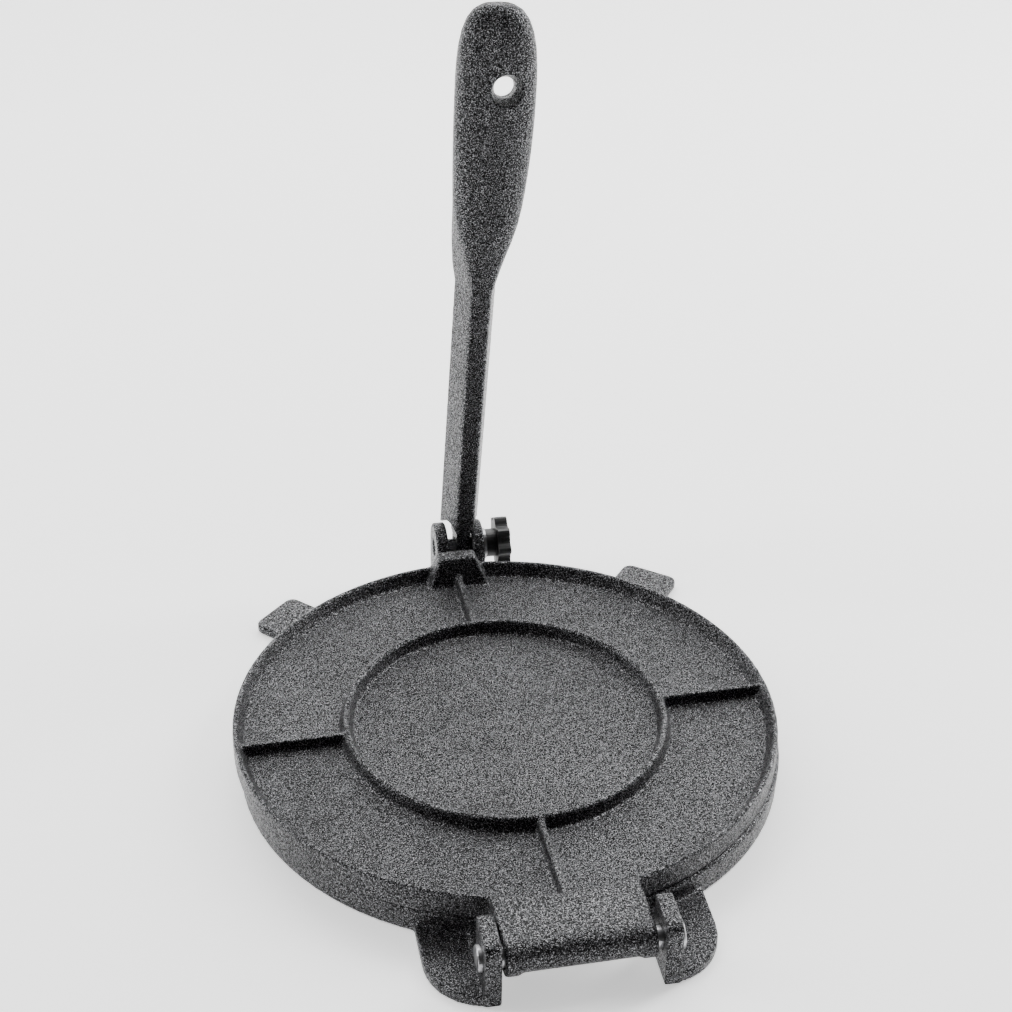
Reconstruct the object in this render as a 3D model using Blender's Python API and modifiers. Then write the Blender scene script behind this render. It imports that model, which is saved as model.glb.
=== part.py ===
"""Hinged cast-iron dough press: a round base, a round lid hinged at the front, and a handle in a rear clevis.

Frame: metres, +Z up, +X to the right, +Y from the hinge at the front to the handle at the back. The ground is z = 0
and the origin is the middle of the object's footprint. Every length below is in millimetres until it meets MM.
"""

from math import asin, cos, degrees, pi, radians, sin, sqrt

import bmesh
import bpy
from mathutils import Matrix, Vector

MM = 0.001
GAP = 0.3  # clearance between faces that touch on the real object

# Plates. BASE_X and PLATE_Y centre the footprint on the origin.
BASE_X, PLATE_Y = 0.73, -1.5
PLATE_R, LID_R = 127.0, 127.4
BASE_DRAFT = 0.5  # the base's wall leans in by this much towards the ground
BASE_H = 14.3
BASE_EDGE, FOOT_EDGE = 1.6, 0.3  # rounding of the base's upper and lower outer edges
FOOT_CLEARANCE = 0.3  # the base's rim and ring stay this far off the ground: it stands on its feet
LID_BOTTOM = BASE_H + GAP
LID_TOP = 27.6
LID_FLOOR, BASE_CEILING = 20.5, 7.5
RIM_W, RIM_ROOT = 2.4, 5.4  # the rim's width at its top and at its root
RING_IN, RING_OUT, RING_ROOT = 73.2, 75.9, 1.8  # the ring is RING_ROOT wider on each side at its root
RIB_W, RIB_ROOT_W, RIB_DROP = 2.7, 4.5, 1.3
BEAD = 1.5  # height of the rounding along the crests of the ring and rim
EDGE = 0.8
TURN_STEPS = 88

# Hinge at the front. The lid has play on its pins: it sits off centre and turned by a little.
HINGE_REACH, HINGE_Z = 150.0, 19.0  # from the plates' centre to the hinge's axis
LID_SHIFT, LID_YAW = 0.9, 1.1  # millimetres to the right at the hinge, degrees anticlockwise from above
HINGE_Y = PLATE_Y - HINGE_REACH
EAR_SHIFT = 1.4  # the ears and their flanges are cast this far to the right of the plate's middle
EAR_IN, EAR_W, EAR_TOP = 34.6, 7.4, 32.0
EAR_FRONT, EAR_BACK = 10.0, 13.0  # from the hinge's axis
EAR_CORNER, EAR_BACK_CORNER = 4.0, 1.6
FLANGE_OUT, FLANGE_H, FLANGE_CORNER = 64.0, 5.7, 27.0
JOIN_R = 122.5  # feet and ears run in to this radius, inside the rim
BARREL_HALF, BARREL_R = 32.5, LID_TOP - HINGE_Z
KNUCKLE_L, BARREL_STEP = 6.5, 1.3  # the barrel between its end knuckles is this much thinner below
TONGUE_BOTTOM, TONGUE_TOP = LID_BOTTOM + 0.9, LID_TOP - 0.05
TONGUE_ROOT_R = 125.5  # the tongue starts inside the rim
PIN_R, PIN_REACH = 5.0, 23.0  # the pins reach this far in from the ears' inner faces
PIN_BORE_R, PIN_BORE_DEPTH = 5.5, 24.0
PIN_HEAD_R, PIN_HEAD_T = 6.1, 1.8

# Rear feet: heading in degrees, reach along it from the plate's centre, and distance to the left of it.
# The left one is turned a few degrees away from the radius.
TAB_RIGHT, TAB_LEFT = (52.0, 170.2, 2.0), (135.0, 163.6, -23.9)
TAB_W, TAB_H, TAB_CORNER = 30.0, 5.0, 4.5

# Clevis, and the lug on the lid that the handle presses on
PIVOT_Y, PIVOT_Z = PLATE_Y + 149.0, 23.0
CLEVIS_X = BASE_X + 0.7
CLEVIS_HALF_GAP, CLEVIS_EAR_W, CLEVIS_R = 6.2, 6.4, 13.0
CLEVIS_FLOOR, CLEVIS_INSET = 9.5, 0.6  # the block under the ears is inset from their faces
LUG_TOP, LUG_BOTTOM = 35.0, LID_BOTTOM + 1.5
LUG_HALF_TOP, LUG_HALF_ROOT = 9.3, 17.2
LUG_FRONT_TOP, LUG_FRONT_ROOT, LUG_BACK = 119.5, 113.0, 127.6  # from the lid's centre

# Handle: its lengths count from the pivot, along the handle
HANDLE_SHIFT, HANDLE_LEAN = 1.6, 3.3  # play in the clevis: millimetres and degrees to the right
EYE_R, EYE_W, EYE_TOP, EYE_BORE_R = 9.5, 6.2, 19.0, 4.75
EAR_CLEARANCE = 1.4  # the shank is hollowed out round the clevis's ears by this much
SHANK_FROM, NECK, WIDEST, TIP = 3.5, 150.0, 249.4, 294.7
SHANK_FRONT, SHANK_BACK = -8.0, 12.0
FRONT_HALF_W, BACK_HALF_W, NECK_HALF_W = 4.3, 9.7, 10.3
GRIP_HALF_W, GRIP_HALF_D, GRIP_Y = 19.3, 11.2, 1.0
GRIP_BOW = 1.7  # the grip's middle stands this far to the right of the shank's line
NECK_BLEND = 48.0  # the shank's section turns into the grip's over this length
NECK_FULLNESS, TIP_FULLNESS = 0.73, 3.1
HANG_HOLE_AT, HANG_HOLE_X, HANG_HOLE_R, HANG_HOLE_TILT = 254.5, 5.0, 5.2, 8.0
HANG_HOLE_FLARE, HANG_HOLE_THROAT = 2.8, 3.0  # it widens by this much from its throat to each face

# Clamp: screw, washer and lobed knob on the handle's pivot axis
SCREW_R, SCREW_HOLE_R, SCREW_INSET = 4.0, 4.3, 1.0
WASHER_R, WASHER_T = 8.0, 1.5
HUB_R, HUB_L, HUB_GRIP = 7.35, 5.0, 4.0  # the screw runs HUB_GRIP into the hub
KNOB_R, KNOB_T, KNOB_EDGE = 14.0, 6.6, 1.0
KNOB_LOBES, LOBE_DEPTH, LOBE_PHASE = 8, 2.8, 34.4

FINISHES = {
    "hammertone": ((0.045, 0.046, 0.049), 0.35, 0.6),
    "steel": ((0.55, 0.55, 0.56), 0.3, 1.0),
    "black_plastic": ((0.012, 0.012, 0.012), 0.5, 0.0),
}


def clear_scene():
    for thing in list(bpy.data.objects):
        bpy.data.objects.remove(thing, do_unlink=True)


def new_collection(name, parent, helper):
    made = bpy.data.collections.new(name)
    parent.children.link(made)
    made.hide_render = helper
    return made


def make_finish(name):
    colour, roughness, metallic = FINISHES[name]
    made = bpy.data.materials.new(name)
    made.use_nodes = True
    shader = made.node_tree.nodes["Principled BSDF"]
    shader.inputs["Base Color"].default_value = (*colour, 1.0)
    shader.inputs["Roughness"].default_value = roughness
    shader.inputs["Metallic"].default_value = metallic
    made.diffuse_color = (*colour, 1.0)


def at(x, y, z):
    return Matrix.Translation(Vector((x, y, z)) * MM)


def spin(degrees, axis):
    return Matrix.Rotation(radians(degrees), 4, axis)


def along_x(x, y, z):
    """A frame at this point whose Z axis is the world's X axis."""
    return at(x, y, z) @ spin(90, "Y")


def side_on(x):
    """A frame that stands a flat outline of (y, z) up, with its thickness along X."""
    return at(x, 0, 0) @ Matrix(((0, 0, 1, 0), (1, 0, 0, 0), (0, 1, 0, 0), (0, 0, 0, 1)))


def arc(centre, radius, start, end, count):
    """Points along an arc, in degrees, both ends included."""
    turns = [radians(start + (end - start) * i / count) for i in range(count + 1)]
    return [(centre[0] + radius * cos(t), centre[1] + radius * sin(t)) for t in turns]


def place(name, mesh, collection, matrix, finish=None, parent=None):
    """Adds a part with its finish, or a helper where there is none. The matrix is relative to the parent."""
    made = bpy.data.objects.new(name, mesh)
    collection.objects.link(made)
    made.parent = parent
    made.matrix_local = matrix
    if finish:
        mesh.materials.append(bpy.data.materials[finish])
    else:
        made.hide_render = True
        made.display_type = "WIRE"
    return made


def pivot_empty(name, collection, matrix):
    made = bpy.data.objects.new(name, None)
    collection.objects.link(made)
    made.matrix_local = matrix
    return made


def mesh_of(name, shape):
    mesh = bpy.data.meshes.new(name)
    bmesh.ops.recalc_face_normals(shape, faces=shape.faces)
    shape.to_mesh(mesh)
    shape.free()
    return mesh


def turned(name, profile, collection, matrix, finish=None, steps=TURN_STEPS, parent=None):
    """A solid turned about its own Z axis from a profile of (radius, height)."""
    mesh = bpy.data.meshes.new(name)
    points = [(r * MM, 0.0, z * MM) for r, z in profile]
    mesh.from_pydata(points, [(i, i + 1) for i in range(len(points) - 1)], [])
    made = place(name, mesh, collection, matrix, finish, parent)
    screw = made.modifiers.new("Turn", "SCREW")
    screw.steps = screw.render_steps = steps
    screw.use_merge_vertices = True
    screw.merge_threshold = 0.00001
    screw.use_smooth_shade = True
    return made


def rod(name, radius, length, collection, matrix, sides=32):
    """A helper cylinder along its own Z, centred on the matrix."""
    shape = bmesh.new()
    bmesh.ops.create_cone(
        shape, cap_ends=True, segments=sides, radius1=radius * MM, radius2=radius * MM, depth=length * MM
    )
    return place(name, mesh_of(name, shape), collection, matrix)


def tapered_block(name, low, high, z_low, z_high, collection, matrix):
    """A helper block whose lower and upper faces are the rectangles (x0, x1, y0, y1)."""
    shape = bmesh.new()
    bmesh.ops.create_cube(shape, size=1.0)
    for corner in shape.verts:
        x0, x1, y0, y1 = high if corner.co.z > 0 else low
        x = x1 if corner.co.x > 0 else x0
        y = y1 if corner.co.y > 0 else y0
        z = z_high if corner.co.z > 0 else z_low
        corner.co = Vector((x, y, z)) * MM
    return place(name, mesh_of(name, shape), collection, matrix)


def extruded(name, outline, thickness, collection, matrix, finish=None, parent=None):
    """A flat outline, filled and extruded half its thickness to each side of its plane."""
    curve = bpy.data.curves.new(name, "CURVE")
    curve.dimensions = "2D"
    curve.fill_mode = "BOTH"
    curve.extrude = thickness * MM / 2
    spline = curve.splines.new("POLY")
    spline.points.add(len(outline) - 1)
    for point, (u, v) in zip(spline.points, outline):
        point.co = (u * MM, v * MM, 0.0, 1.0)
    spline.use_cyclic_u = True
    guide = bpy.data.objects.new(name, curve)
    bpy.context.scene.collection.objects.link(guide)
    graph = bpy.context.evaluated_depsgraph_get()
    flat = bpy.data.meshes.new_from_object(guide.evaluated_get(graph))
    bpy.data.objects.remove(guide, do_unlink=True)
    shape = bmesh.new()
    shape.from_mesh(flat)
    bmesh.ops.remove_doubles(shape, verts=shape.verts, dist=0.000001)
    return place(name, mesh_of(name, shape), collection, matrix, finish, parent)


def lofted(name, rings, collection, matrix, finish=None):
    """A solid through closed rings of equal point counts, with its two end rings capped."""
    shape = bmesh.new()
    rows = [[shape.verts.new(Vector(point) * MM) for point in ring] for ring in rings]
    count = len(rows[0])
    for below, above in zip(rows, rows[1:]):
        for i in range(count):
            j = (i + 1) % count
            shape.faces.new((below[i], below[j], above[j], above[i]))
    shape.faces.new(rows[0])
    shape.faces.new(rows[-1])
    return place(name, mesh_of(name, shape), collection, matrix, finish)


def rounded(made, width, segments=1, angle=40):
    bevel = made.modifiers.new("Round", "BEVEL")
    bevel.width = width * MM
    bevel.segments = segments
    bevel.limit_method = "ANGLE"
    bevel.angle_limit = radians(angle)


def combine(made, operation, helpers):
    boolean = made.modifiers.new(operation.title(), "BOOLEAN")
    boolean.operation = operation
    boolean.operand_type = "COLLECTION"
    boolean.collection = helpers
    boolean.solver = "EXACT"


def smooth_by_angle(made):
    made.data.shade_smooth()
    made.data.set_sharp_from_angle(angle=radians(35))


def bead(inner, outer, crest, rise):
    """The rounded crest of a ring between these radii."""
    low, high = crest - rise * BEAD, crest - rise * BEAD / 4
    middle = (inner + outer) / 2
    return [(inner - 0.3, low), (inner + 0.4, high), (middle, crest), (outer - 0.4, high), (outer + 0.3, low)]


def ribbed_side(floor, crest, plate_r, crest_r, edge):
    """Half section of a plate's ribbed side, from the axis out to the rim's outer edge at crest_r."""
    rise = 1 if crest > floor else -1
    section = [(0.0, floor), (RING_IN - RING_ROOT, floor)]
    section += bead(RING_IN, RING_OUT, crest, rise)
    section += [(RING_OUT + RING_ROOT, floor), (plate_r - RIM_ROOT, floor)]
    section += bead(plate_r - RIM_W, plate_r, crest, rise)[:3]
    return section + [(crest_r - edge, crest), (crest_r, crest - rise * edge)]


def flat_side(radius, height, rise, edge):
    """Half section of a plate's flat side, from the wall in to the axis, with a rounded edge."""
    bend = arc((radius - edge, height + rise * edge), edge, 0, -rise * 90, 3)
    return bend + [(0.0, height)]


def add_ribs(name, floor, crest, collection, centre):
    """Four radial ribs between the ring and the rim, a little lower than both."""
    rise = 1 if crest > floor else -1
    top, root = crest - rise * RIB_DROP, floor - rise
    start, end = RING_OUT - 1.0, PLATE_R - RIM_W + 1.0
    root_box = (start, end, -RIB_ROOT_W / 2, RIB_ROOT_W / 2)
    top_box = (start, end, -RIB_W / 2, RIB_W / 2)
    for index in range(4):
        low, high = (root_box, top_box) if rise > 0 else (top_box, root_box)
        matrix = centre @ spin(90 * index, "Z")
        tapered_block(f"{name}_{index}", low, high, min(root, top), max(root, top), collection, matrix)


def add_hinge_ear(side, helpers, cutters):
    back, front = HINGE_Y + EAR_BACK, HINGE_Y - EAR_FRONT
    inward = PLATE_Y - JOIN_R + 6.0
    outline = [(inward, 0.2), (front, 0.2)]
    outline += arc((front + EAR_CORNER, EAR_TOP - EAR_CORNER), EAR_CORNER, 180, 90, 4)
    outline += arc((back - EAR_BACK_CORNER, EAR_TOP - EAR_BACK_CORNER), EAR_BACK_CORNER, 90, 0, 2)
    outline += arc((back + 3.0, BASE_H / 2 + 3.0), 3.0, 180, 270, 3)
    outline += [(inward, BASE_H / 2)]
    x = BASE_X + EAR_SHIFT + side * (EAR_IN + EAR_W / 2)
    rounded(extruded(f"hinge_ear_{side}", outline, EAR_W, helpers, side_on(x)), EDGE)
    rod(f"hinge_bore_{side}", PIN_R + GAP, EAR_W + 4, cutters, along_x(x, HINGE_Y, HINGE_Z))


def add_front_flange(side, helpers):
    """A flat foot beside each ear, rounded at its outer front corner and cut to the plate's curve."""
    front = -HINGE_REACH - EAR_FRONT + 0.5
    inner, outer = EAR_IN + 1.0 + side * EAR_SHIFT, FLANGE_OUT + side * EAR_SHIFT
    bend = arc((outer - FLANGE_CORNER, front + FLANGE_CORNER), FLANGE_CORNER, -90, 0, 8)
    inside = arc((0, 0), JOIN_R, degrees(asin(outer / JOIN_R)) - 90, degrees(asin(inner / JOIN_R)) - 90, 4)
    outline = [(inner, front)] + bend + inside
    matrix = at(BASE_X, PLATE_Y, FLANGE_H / 2)
    mirrored = [(side * x, y) for x, y in outline]
    rounded(extruded(f"front_flange_{side}", mirrored, FLANGE_H, helpers, matrix), EDGE)


def add_rear_foot(name, heading, reach, offset, helpers):
    """A flat tab with round outer corners, whose inner end lies inside the rim."""
    right, left = offset - TAB_W / 2, offset + TAB_W / 2
    root_r = JOIN_R + 0.9
    outline = [(sqrt(root_r**2 - right**2), right)]
    outline += arc((reach - TAB_CORNER, right + TAB_CORNER), TAB_CORNER, -90, 0, 3)
    outline += arc((reach - TAB_CORNER, left - TAB_CORNER), TAB_CORNER, 0, 90, 3)
    outline += [(sqrt(root_r**2 - left**2), left)]
    matrix = at(BASE_X, PLATE_Y, TAB_H / 2) @ spin(heading, "Z")
    rounded(extruded(name, outline, TAB_H, helpers, matrix), EDGE)


def add_clevis(helpers, cutters):
    middle = CLEVIS_HALF_GAP + CLEVIS_EAR_W / 2
    outline = [(PIVOT_Y - CLEVIS_R, 0.2)]
    outline += arc((PIVOT_Y, PIVOT_Z), CLEVIS_R, 180, 0, 16)
    outline += [(PIVOT_Y + CLEVIS_R, 0.2)]
    for side in (-1, 1):
        x = CLEVIS_X + side * middle
        rounded(extruded(f"clevis_ear_{side}", outline, CLEVIS_EAR_W, helpers, side_on(x)), EDGE, angle=60)
    half = middle + CLEVIS_EAR_W / 2 - CLEVIS_INSET
    block = (-half, half, PLATE_Y + JOIN_R, PIVOT_Y + CLEVIS_R - CLEVIS_INSET)
    tapered_block("clevis_block", block, block, 0.0, CLEVIS_FLOOR, helpers, at(CLEVIS_X, 0, 0))
    rod("screw_bore", SCREW_HOLE_R, 4 * middle, cutters, along_x(CLEVIS_X, PIVOT_Y, PIVOT_Z))


def make_base(parts, helpers):
    joined = new_collection("base_joined", helpers, True)
    cutters = new_collection("base_cut", helpers, True)
    underside = ribbed_side(BASE_CEILING, FOOT_CLEARANCE, PLATE_R, PLATE_R - BASE_DRAFT, FOOT_EDGE)
    profile = list(reversed(underside + flat_side(PLATE_R, BASE_H, -1, BASE_EDGE)))
    centre = at(BASE_X, PLATE_Y, 0)
    base = turned("base_casting", profile, parts, centre, "hammertone")
    add_ribs("base_rib", BASE_CEILING, FOOT_CLEARANCE, joined, centre)
    for side in (-1, 1):
        add_hinge_ear(side, joined, cutters)
        add_front_flange(side, joined)
    add_rear_foot("rear_foot_right", *TAB_RIGHT, joined)
    add_rear_foot("rear_foot_left", *TAB_LEFT, joined)
    add_clevis(joined, cutters)
    combine(base, "UNION", joined)
    combine(base, "DIFFERENCE", cutters)
    smooth_by_angle(base)


def make_lid(parts, helpers):
    joined = new_collection("lid_joined", helpers, True)
    cutters = new_collection("lid_cut", helpers, True)
    hinge_x = BASE_X + LID_SHIFT
    hinge = pivot_empty("lid_hinge", parts, at(hinge_x, HINGE_Y, HINGE_Z) @ spin(LID_YAW, "Z"))
    ground = at(hinge_x, HINGE_Y, 0) @ spin(LID_YAW, "Z")
    centre = ground @ at(0, HINGE_REACH, 0)
    profile = ribbed_side(LID_FLOOR, LID_TOP, LID_R, LID_R, EDGE) + flat_side(LID_R, LID_BOTTOM, 1, EDGE)
    local = at(0, HINGE_REACH, -HINGE_Z)
    lid = turned("lid_casting", profile, parts, local, "hammertone", parent=hinge)
    add_ribs("lid_rib", LID_FLOOR, LID_TOP, joined, centre)
    half_turn = degrees(asin(BARREL_HALF / TONGUE_ROOT_R))
    tongue = [(-BARREL_HALF, 0), (BARREL_HALF, 0)]
    tongue += arc((0, HINGE_REACH), TONGUE_ROOT_R, half_turn - 90, -half_turn - 90, 8)
    tongue_t = TONGUE_TOP - TONGUE_BOTTOM
    extruded("tongue", tongue, tongue_t, joined, ground @ at(0, 0, TONGUE_BOTTOM + tongue_t / 2))
    barrel_r = BARREL_R - BARREL_STEP / 2
    inner_l = 2 * (BARREL_HALF - KNUCKLE_L) + 2
    rod("barrel", barrel_r, inner_l, joined, ground @ along_x(0, 0, LID_TOP - 0.1 - barrel_r))
    for side in (-1, 1):
        knuckle = ground @ along_x(side * (BARREL_HALF - KNUCKLE_L / 2), 0, HINGE_Z)
        rounded(rod(f"knuckle_{side}", BARREL_R, KNUCKLE_L, joined, knuckle), EDGE / 2)
        bore = along_x(hinge_x + side * BARREL_HALF, HINGE_Y, HINGE_Z)
        rod(f"barrel_bore_{side}", PIN_BORE_R, 2 * PIN_BORE_DEPTH, cutters, bore)
    low = (-LUG_HALF_ROOT, LUG_HALF_ROOT, LUG_FRONT_ROOT, LUG_BACK)
    high = (-LUG_HALF_TOP, LUG_HALF_TOP, LUG_FRONT_TOP, LUG_BACK)
    rounded(tapered_block("lug", low, high, LUG_BOTTOM, LUG_TOP, joined, centre), EDGE)
    combine(lid, "UNION", joined)
    combine(lid, "DIFFERENCE", cutters)
    smooth_by_angle(lid)


def handle_half_width(length):
    """Half the handle's greatest width at this length: the shank, the swell of the grip, and its round end."""
    if length < NECK:
        share = (length - SHANK_FROM) / (NECK - SHANK_FROM)
        return BACK_HALF_W + (NECK_HALF_W - BACK_HALF_W) * share
    if length < WIDEST:
        share = (length - NECK) / (WIDEST - NECK)
        return NECK_HALF_W + (GRIP_HALF_W - NECK_HALF_W) * sin(pi / 2 * share) ** NECK_FULLNESS
    share = (length - WIDEST) / (TIP - WIDEST)
    return GRIP_HALF_W * (1 - share**TIP_FULLNESS) ** (1 / TIP_FULLNESS)


def handle_ring(length, around=28):
    """The section at this length: a rounded trapezium on the shank that turns into the grip's oval."""
    blend = min(1.0, max(0.0, (length - NECK) / NECK_BLEND))
    blend = blend * blend * (3 - 2 * blend)
    taper = (1 - blend) * (BACK_HALF_W - FRONT_HALF_W) / (BACK_HALF_W + FRONT_HALF_W)
    roundness = 9.0 + (2.4 - 9.0) * blend**0.5
    middle = (SHANK_FRONT + SHANK_BACK) / 2 * (1 - blend) + GRIP_Y * blend
    half_d = (SHANK_BACK - SHANK_FRONT) / 2 * (1 - blend) + GRIP_HALF_D * blend
    if length > WIDEST:
        half_d *= handle_half_width(length) / GRIP_HALF_W
    bow = GRIP_BOW * sin(pi * max(0.0, length - NECK) / (TIP - NECK))
    section = []
    for index in range(around):
        turn = 2 * pi * (index + 0.5) / around
        u = abs(cos(turn)) ** (2 / roundness) * (1 if cos(turn) > 0 else -1)
        v = abs(sin(turn)) ** (2 / roundness) * (1 if sin(turn) > 0 else -1)
        section.append((u * (1 + taper * v), v))
    scale = handle_half_width(length) / max(u for u, _ in section)
    return [(bow + u * scale, middle + v * half_d, length) for u, v in section]


def handle_rings():
    """Sections every few millimetres where the handle changes, closer together towards the round tip."""
    swell = [NECK + (WIDEST - NECK) * i / 11 for i in range(12)]
    end = [WIDEST + (TIP - WIDEST) * sin(pi / 2 * i / 8) for i in range(1, 8)]
    return [handle_ring(length) for length in [SHANK_FROM] + swell + end + [TIP - 0.15]]


def make_handle(parts, helpers):
    clearance = new_collection("handle_clearance", helpers, True)
    joined = new_collection("handle_joined", helpers, True)
    cutters = new_collection("handle_cut", helpers, True)
    x = CLEVIS_X + HANDLE_SHIFT
    lean = at(x, PIVOT_Y, PIVOT_Z) @ spin(HANDLE_LEAN, "Y")
    handle = lofted("handle_casting", handle_rings(), parts, lean, "hammertone")
    cut_l = 2 * BACK_HALF_W
    for side in (-1, 1):
        beside = along_x(x + side * (EYE_W / 2 + 0.2 + cut_l / 2), PIVOT_Y, PIVOT_Z)
        rod(f"ear_clearance_{side}", CLEVIS_R + EAR_CLEARANCE, cut_l, clearance, beside, 48)
    outline = arc((0, 0), EYE_R, 180, 360, 18) + [(EYE_R + 1, EYE_TOP), (SHANK_FRONT + 1.5, EYE_TOP)]
    extruded("eye", outline, EYE_W, joined, lean @ side_on(0))
    half_l = 2 * GRIP_HALF_D
    slope = HANG_HOLE_FLARE / (GRIP_HALF_D - HANG_HOLE_THROAT)
    wide = HANG_HOLE_R + slope * (half_l - HANG_HOLE_THROAT)
    throat = [(HANG_HOLE_R, HANG_HOLE_THROAT), (HANG_HOLE_R, -HANG_HOLE_THROAT)]
    profile = [(0.0, half_l), (wide, half_l)] + throat + [(wide, -half_l), (0.0, -half_l)]
    hole = lean @ at(HANG_HOLE_X, GRIP_Y, HANG_HOLE_AT) @ spin(90 - HANG_HOLE_TILT, "X")
    turned("hang_hole", profile, cutters, hole, steps=28)
    rod("eye_bore", EYE_BORE_R, 4 * EYE_W, cutters, along_x(x, PIVOT_Y, PIVOT_Z))
    combine(handle, "DIFFERENCE", clearance)
    combine(handle, "UNION", joined)
    combine(handle, "DIFFERENCE", cutters)
    smooth_by_angle(handle)


def make_hinge_pin(name, side, parts):
    """A pin pressed into its ear, with its flat head outside and its end in the barrel."""
    length = EAR_W + PIN_REACH
    profile = [(0.0, PIN_HEAD_T + GAP), (PIN_HEAD_R - EDGE / 2, PIN_HEAD_T + GAP)]
    profile += [(PIN_HEAD_R, PIN_HEAD_T + GAP - EDGE / 2), (PIN_HEAD_R, GAP), (PIN_R, GAP)]
    profile += [(PIN_R, EDGE - length), (PIN_R - EDGE, -length), (0.0, -length)]
    x = BASE_X + EAR_SHIFT + side * (EAR_IN + EAR_W)
    matrix = at(x, HINGE_Y, HINGE_Z) @ spin(side * 90, "Y")
    smooth_by_angle(turned(name, profile, parts, matrix, "steel", 32))


def make_clamp(parts, helpers):
    """The screw, its washer and the lobed knob, all along the pivot's axis from the clevis's right ear outwards."""
    ear_face = CLEVIS_HALF_GAP + CLEVIS_EAR_W
    axis = along_x(CLEVIS_X, PIVOT_Y, PIVOT_Z)
    washer_from = ear_face + GAP
    washer_to = washer_from + WASHER_T
    hub_from = washer_to + GAP
    tip, end = SCREW_INSET - ear_face, hub_from + HUB_GRIP
    screw = [(0.0, end), (SCREW_R, end), (SCREW_R, tip + EDGE), (SCREW_R - EDGE, tip), (0.0, tip)]
    smooth_by_angle(turned("clamp_screw", screw, parts, axis, "steel", 32))
    hole_r = SCREW_R + GAP
    washer = [(hole_r, washer_to), (WASHER_R, washer_to), (WASHER_R, washer_from), (hole_r, washer_from)]
    smooth_by_angle(turned("clamp_washer", washer + washer[:1], parts, axis, "steel", 32))
    make_knob(parts, helpers, axis, hub_from, end)


def make_knob(parts, helpers, axis, hub_from, screw_end):
    joined = new_collection("knob_joined", helpers, True)
    cutters = new_collection("knob_cut", helpers, True)
    outline = []
    for index in range(KNOB_LOBES * 8):
        turn = 2 * pi * index / (KNOB_LOBES * 8)
        wave = cos(KNOB_LOBES * (turn - radians(LOBE_PHASE)))
        radius = KNOB_R - LOBE_DEPTH * (0.5 - 0.5 * wave)
        outline.append((radius * cos(turn), radius * sin(turn)))
    disc = axis @ at(0, 0, hub_from + HUB_L + KNOB_T / 2)
    knob = extruded("star_knob", outline, KNOB_T, parts, disc, "black_plastic")
    rounded(knob, KNOB_EDGE, 1, 60)
    rod("knob_hub", HUB_R, HUB_L + 1, joined, axis @ at(0, 0, hub_from + HUB_L / 2 + 0.5))
    depth = screw_end + GAP - hub_from
    rod("knob_socket", SCREW_R + GAP, 2 * depth, cutters, axis @ at(0, 0, hub_from))
    combine(knob, "UNION", joined)
    combine(knob, "DIFFERENCE", cutters)
    smooth_by_angle(knob)


def main():
    clear_scene()
    for finish in FINISHES:
        make_finish(finish)
    parts = new_collection("dough_press", bpy.context.scene.collection, False)
    helpers = new_collection("helpers", bpy.context.scene.collection, True)
    make_base(parts, helpers)
    make_lid(parts, helpers)
    make_handle(parts, helpers)
    make_hinge_pin("hinge_pin_left", -1, parts)
    make_hinge_pin("hinge_pin_right", 1, parts)
    make_clamp(parts, helpers)


main()
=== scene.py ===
"""The finished look of a hinged cast-iron dough press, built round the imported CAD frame.

Lengths are in metres, except where a comment says millimetres.
"""

from math import cos, pi, radians, sin

import bmesh
import bpy
from mathutils import Matrix, Vector


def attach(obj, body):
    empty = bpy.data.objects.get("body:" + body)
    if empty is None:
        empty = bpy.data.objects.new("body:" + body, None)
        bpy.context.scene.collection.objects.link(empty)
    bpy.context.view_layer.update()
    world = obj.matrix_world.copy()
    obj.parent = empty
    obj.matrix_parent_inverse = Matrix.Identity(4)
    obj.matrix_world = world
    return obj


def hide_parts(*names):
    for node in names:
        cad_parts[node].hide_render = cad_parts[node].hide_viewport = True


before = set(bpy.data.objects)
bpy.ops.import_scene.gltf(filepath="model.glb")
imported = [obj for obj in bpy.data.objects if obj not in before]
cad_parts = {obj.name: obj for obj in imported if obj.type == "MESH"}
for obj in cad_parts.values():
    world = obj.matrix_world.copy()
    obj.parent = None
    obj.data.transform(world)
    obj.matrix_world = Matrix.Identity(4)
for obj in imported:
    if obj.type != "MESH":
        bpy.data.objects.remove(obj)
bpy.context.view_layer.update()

MM = 0.001

# Camera: where it stands and what it looks at, in the frame's millimetres.
AZIMUTH, ELEVATION, ROLL = -11.25, 32.63, 0.96
DISTANCE = 1256.0
AIM = (40.64, 216.2, 0.0)
LENS, SENSOR = 80.07, 36.0

# Casting skins: voxel size, and the passes of smoothing that round the edges and fill the corners.
VOXEL, HANDLE_VOXEL = 0.75 * MM, 0.6 * MM
BODY_SMOOTH, LID_SMOOTH, HANDLE_SMOOTH = 5, 9, 4
SMOOTH_FACTOR = 0.5

# Enamel: noise scales in features per metre, its three colours, and the height of its texture.
SPECKLE, FLECK, PATCH, WAVE = 1050.0, 1900.0, 28.0, 160.0
VEIN, SILVER, SPARK = (0.0008, 0.0008, 0.0010), (0.056, 0.057, 0.060), (0.30, 0.30, 0.31)
PEBBLE_HEIGHT, WAVE_HEIGHT = 0.6 * MM, 0.8 * MM
ENAMEL_IOR = 1.32

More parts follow.
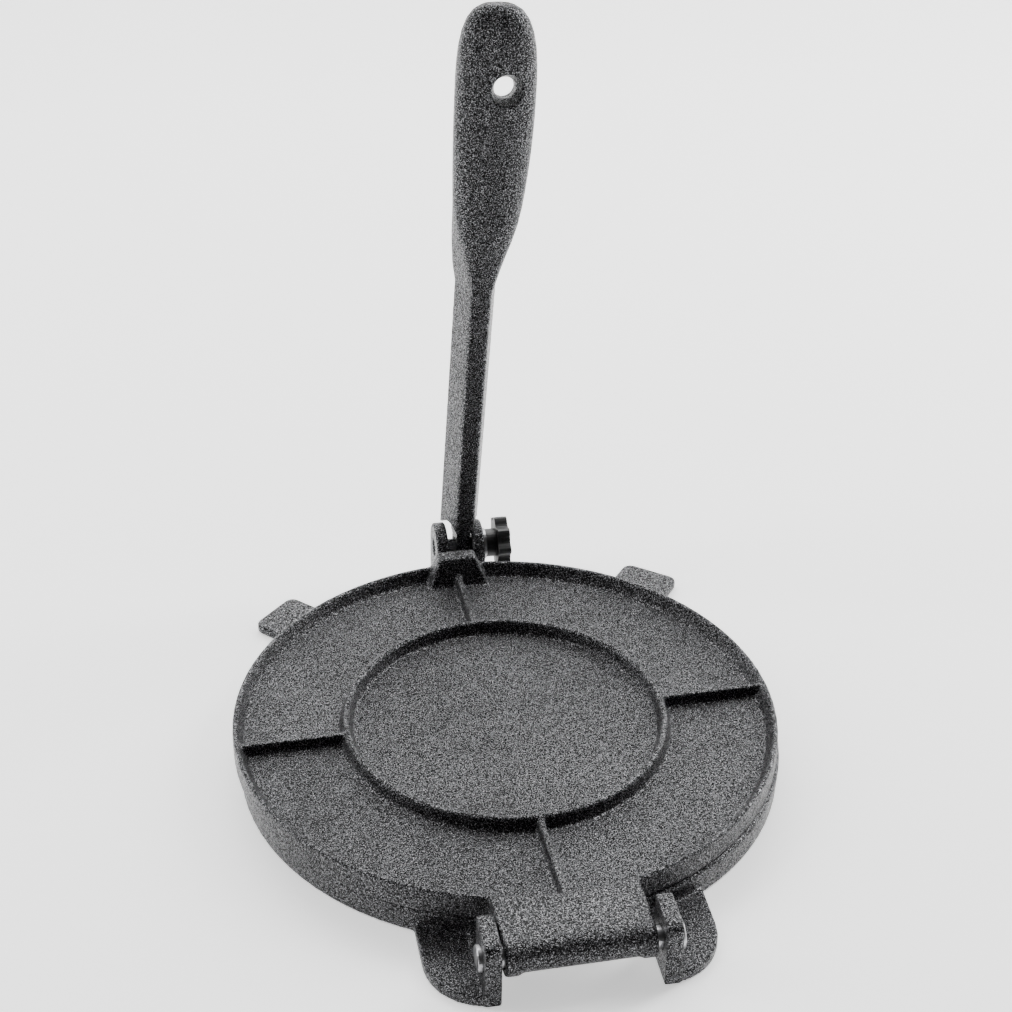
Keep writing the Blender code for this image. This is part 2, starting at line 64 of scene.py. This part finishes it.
# Studio, in metres. The world's strength is FRONT_LIGHT behind the camera and SKY_LIGHT elsewhere,
# and it changes from one to the other between these two values of a direction's Y.
FRONT_LIGHT, SKY_LIGHT = 0.06, 1.0
FRONT_ENDS, SKY_STARTS = -0.35, 0.55
SOFTBOXES = {  # place, aim, size and power in watts
    "left_softbox": ((-1.3, 0.3, 0.9), (0.0, 0.05, 0.12), (0.5, 1.5), 18.0),
    "right_softbox": ((1.3, 0.5, 0.8), (0.0, 0.05, 0.12), (0.5, 1.5), 34.0),
    "top_softbox": ((0.0, 1.1, 1.6), (0.0, 0.0, 0.0), (1.6, 1.0), 30.0),
}
FLOOR_FRONT, FLOOR_BACK, FLOOR_HALF_W, FLOOR_Z = -8.0, 1.6, 9.0, -0.0002
BACKDROP_TOP, SWEEP_R, SWEEP_STEPS = 2.2, 0.8, 12
FLOOR_GLOW = 0.8
WHITE = (1.0, 1.0, 1.0)


def link(piece):
    bpy.context.scene.collection.objects.link(piece)
    return piece


# ---------------------------------------------------------------- materials


class Nodes:
    """Short-hand for building a material's node tree."""

    def __init__(self, name):
        self.material = bpy.data.materials.new(name)
        self.material.use_nodes = True
        self.tree = self.material.node_tree
        self.shader = self.tree.nodes["Principled BSDF"]
        self.place = self.tree.nodes.new("ShaderNodeTexCoord").outputs["Object"]

    def join(self, source, target):
        self.tree.links.new(source, target)

    def add(self, kind, **inputs):
        node = self.tree.nodes.new(kind)
        for key, value in inputs.items():
            node.inputs[key.replace("_", " ")].default_value = value
        return node

    def noise(self, scale, detail=2.0, roughness=0.5, distortion=0.0):
        shape = {"Detail": detail, "Roughness": roughness, "Distortion": distortion}
        node = self.add("ShaderNodeTexNoise", Scale=scale, **shape)
        self.join(self.place, node.inputs["Vector"])
        return node.outputs["Fac"]

    def ramp(self, source, *stops):
        node = self.tree.nodes.new("ShaderNodeValToRGB")
        ramp = node.color_ramp
        while len(ramp.elements) < len(stops):
            ramp.elements.new(0.5)
        for element, (position, value) in zip(ramp.elements, stops):
            element.position = position
            rgb = value if isinstance(value, tuple) else (value, value, value)
            element.color = (*rgb, 1.0)
        self.join(source, node.inputs["Fac"])
        return node.outputs["Color"]

    def mix(self, share, a, b):
        node = self.tree.nodes.new("ShaderNodeMix")
        node.data_type = "RGBA"
        self.join(share, node.inputs["Factor"])
        for value, socket in ((a, node.inputs["A"]), (b, node.inputs["B"])):
            if isinstance(value, tuple):
                socket.default_value = (*value, 1.0)
            else:
                self.join(value, socket)
        return node.outputs["Result"]

    def multiply(self, a, b):
        node = self.tree.nodes.new("ShaderNodeMix")
        node.data_type = "RGBA"
        node.blend_type = "MULTIPLY"
        node.inputs["Factor"].default_value = 1.0
        self.join(a, node.inputs["A"])
        self.join(b, node.inputs["B"])
        return node.outputs["Result"]

    def bump(self, height, strength, distance, under=None):
        node = self.add("ShaderNodeBump", Strength=strength, Distance=distance)
        self.join(height, node.inputs["Height"])
        if under is not None:
            self.join(under, node.inputs["Normal"])
        return node.outputs["Normal"]

    def set(self, **inputs):
        for key, value in inputs.items():
            socket = self.shader.inputs[key.replace("_", " ")]
            if isinstance(value, (int, float)):
                socket.default_value = value
            elif isinstance(value, tuple):
                socket.default_value = (*value, 1.0)
            else:
                self.join(value, socket)
        return self.material


def hammertone():
    """Glossy grey enamel, drawn together into silvery islands with dark veins between them."""
    m = Nodes("hammertone_enamel")
    fine = m.noise(SPECKLE, detail=3.0, roughness=0.65, distortion=0.3)
    flecks = m.noise(FLECK, detail=1.0)
    broad = m.noise(PATCH, detail=3.0, roughness=0.6)
    islands = m.ramp(fine, (0.505, 0.0), (0.535, 0.4), (0.575, 1.0))
    sparks = m.ramp(flecks, (0.56, 0.0), (0.66, 1.0))
    patch = m.ramp(broad, (0.30, 0.80), (0.70, 1.10))
    colour = m.mix(sparks, m.mix(islands, VEIN, SILVER), SPARK)
    tinted = m.multiply(colour, patch)
    metal = m.ramp(fine, (0.47, 0.0), (0.53, 1.0))
    rough = m.ramp(fine, (0.38, 0.42), (0.60, 0.27))
    pebbles = m.bump(fine, 0.9, PEBBLE_HEIGHT)
    waves = m.bump(m.noise(WAVE, detail=1.0), 0.3, WAVE_HEIGHT, pebbles)
    m.set(IOR=ENAMEL_IOR, Specular_IOR_Level=0.06)
    m.set(Coat_Weight=0.09, Coat_Roughness=0.12, Coat_Normal=pebbles)
    return m.set(Base_Color=tinted, Metallic=metal, Roughness=rough, Normal=waves)


def bright_steel():
    m = Nodes("bright_steel")
    turned = m.noise(900.0, detail=3.0)
    worn = m.noise(160.0, detail=4.0)
    colour = m.ramp(worn, (0.35, (0.22, 0.22, 0.23)), (0.65, (0.50, 0.50, 0.51)))
    rough = m.ramp(worn, (0.30, 0.22), (0.70, 0.42))
    lines = m.bump(turned, 0.15, 0.2 * MM)
    return m.set(Base_Color=colour, Metallic=1.0, Roughness=rough, Normal=lines)


def moulded_plastic():
    m = Nodes("moulded_plastic")
    grain = m.noise(1500.0, detail=2.0)
    sheen = m.noise(90.0, detail=2.0)
    colour = m.ramp(sheen, (0.35, (0.009, 0.009, 0.009)), (0.65, (0.016, 0.016, 0.017)))
    rough = m.ramp(sheen, (0.30, 0.36), (0.70, 0.50))
    texture = m.bump(grain, 0.2, 0.1 * MM)
    return m.set(Base_Color=colour, Roughness=rough, Normal=texture)


def backdrop_white():
    m = Nodes("backdrop")
    tone = m.ramp(m.noise(2.0), (0.3, 0.94), (0.7, 0.96))
    return m.set(Base_Color=tone, Roughness=0.9, Emission_Color=WHITE, Emission_Strength=FLOOR_GLOW)


# ---------------------------------------------------------------- pieces


def cast_skin(node, body, material, voxel, passes):
    """A casting's finer surface: its shape remeshed, with edges rounded and corners filled."""
    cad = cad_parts[node]
    skin = link(bpy.data.objects.new(node + "_skin", cad.data.copy()))
    remesh = skin.modifiers.new("Remesh", "REMESH")
    remesh.mode = "VOXEL"
    remesh.voxel_size = voxel
    remesh.use_smooth_shade = True
    ease = skin.modifiers.new("Ease", "SMOOTH")
    ease.factor = SMOOTH_FACTOR
    ease.iterations = passes
    graph = bpy.context.evaluated_depsgraph_get()
    mesh = bpy.data.meshes.new_from_object(skin.evaluated_get(graph))
    skin.modifiers.clear()
    skin.data = mesh
    mesh.shade_smooth()
    mesh.materials.clear()
    mesh.materials.append(material)
    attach(skin, body)
    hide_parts(node)


def dress(node, material):
    """A CAD node keeps its shape and gets this material."""
    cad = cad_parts[node]
    cad.data.materials.clear()
    cad.data.materials.append(material)


# ---------------------------------------------------------------- studio


def make_camera():
    azimuth, elevation, roll = radians(AZIMUTH), radians(ELEVATION), radians(ROLL)
    back = Vector((sin(azimuth) * cos(elevation), -cos(azimuth) * cos(elevation), sin(elevation)))
    right = Vector((cos(azimuth), sin(azimuth), 0.0))
    up = back.cross(right)
    right_rolled = right * cos(roll) + up * sin(roll)
    up_rolled = up * cos(roll) - right * sin(roll)
    data = bpy.data.cameras.new("camera")
    data.lens = LENS
    data.sensor_width = SENSOR
    data.clip_start, data.clip_end = 0.05, 20.0
    camera = link(bpy.data.objects.new("camera", data))
    turn = Matrix((right_rolled, up_rolled, back)).transposed().to_4x4()
    place = (Vector(AIM) + back * DISTANCE) * MM
    camera.matrix_world = Matrix.Translation(place) @ turn
    bpy.context.scene.camera = camera


def make_floor(material):
    """A pale floor whose far side sweeps up into a backdrop."""
    shape = bmesh.new()
    sweep_y = FLOOR_BACK - SWEEP_R
    line = [(FLOOR_FRONT, 0.0), (sweep_y, 0.0)]
    for step in range(1, SWEEP_STEPS + 1):
        turn = pi / 2 * step / SWEEP_STEPS
        line.append((sweep_y + SWEEP_R * sin(turn), SWEEP_R - SWEEP_R * cos(turn)))
    line.append((FLOOR_BACK, BACKDROP_TOP))
    sides = (-FLOOR_HALF_W, FLOOR_HALF_W)
    rows = [[shape.verts.new((x, y, z + FLOOR_Z)) for y, z in line] for x in sides]
    for i in range(len(line) - 1):
        shape.faces.new((rows[0][i], rows[1][i], rows[1][i + 1], rows[0][i + 1]))
    mesh = bpy.data.meshes.new("floor")
    shape.to_mesh(mesh)
    shape.free()
    mesh.shade_smooth()
    mesh.materials.append(material)
    floor = link(bpy.data.objects.new("floor", mesh))


def area_light(name, place, aim, size, energy):
    data = bpy.data.lights.new(name, "AREA")
    data.shape = "RECTANGLE"
    data.size, data.size_y = size
    data.energy = energy
    light = link(bpy.data.objects.new(name, data))
    light.location = place
    light.rotation_euler = (Vector(place) - Vector(aim)).to_track_quat("Z", "Y").to_euler()


def make_world():
    """White all round and above, and dim behind the camera, so that what faces it stays dark."""
    world = bpy.data.worlds.new("studio")
    world.use_nodes = True
    tree = world.node_tree
    direction = tree.nodes.new("ShaderNodeTexCoord").outputs["Generated"]
    parts = tree.nodes.new("ShaderNodeSeparateXYZ")
    ramp = tree.nodes.new("ShaderNodeMapRange")
    tree.links.new(direction, parts.inputs["Vector"])
    tree.links.new(parts.outputs["Y"], ramp.inputs["Value"])
    ramp.inputs["From Min"].default_value = FRONT_ENDS
    ramp.inputs["From Max"].default_value = SKY_STARTS
    ramp.inputs["To Min"].default_value = FRONT_LIGHT
    ramp.inputs["To Max"].default_value = SKY_LIGHT
    background = tree.nodes["Background"]
    background.inputs["Color"].default_value = (*WHITE, 1.0)
    tree.links.new(ramp.outputs["Result"], background.inputs["Strength"])
    bpy.context.scene.world = world


def make_light():
    for name, (place, aim, size, energy) in SOFTBOXES.items():
        area_light(name, place, aim, size, energy)
    make_world()


def main():
    make_camera()
    make_floor(backdrop_white())
    make_light()
    enamel = hammertone()
    cast_skin("base_casting", "base", enamel, VOXEL, BODY_SMOOTH)
    cast_skin("lid_casting", "lid", enamel, VOXEL, LID_SMOOTH)
    cast_skin("handle_casting", "handle", enamel, HANDLE_VOXEL, HANDLE_SMOOTH)
    steel = bright_steel()
    for node in ("hinge_pin_left", "hinge_pin_right", "clamp_screw", "clamp_washer"):
        dress(node, steel)
    dress("star_knob", moulded_plastic())


main()
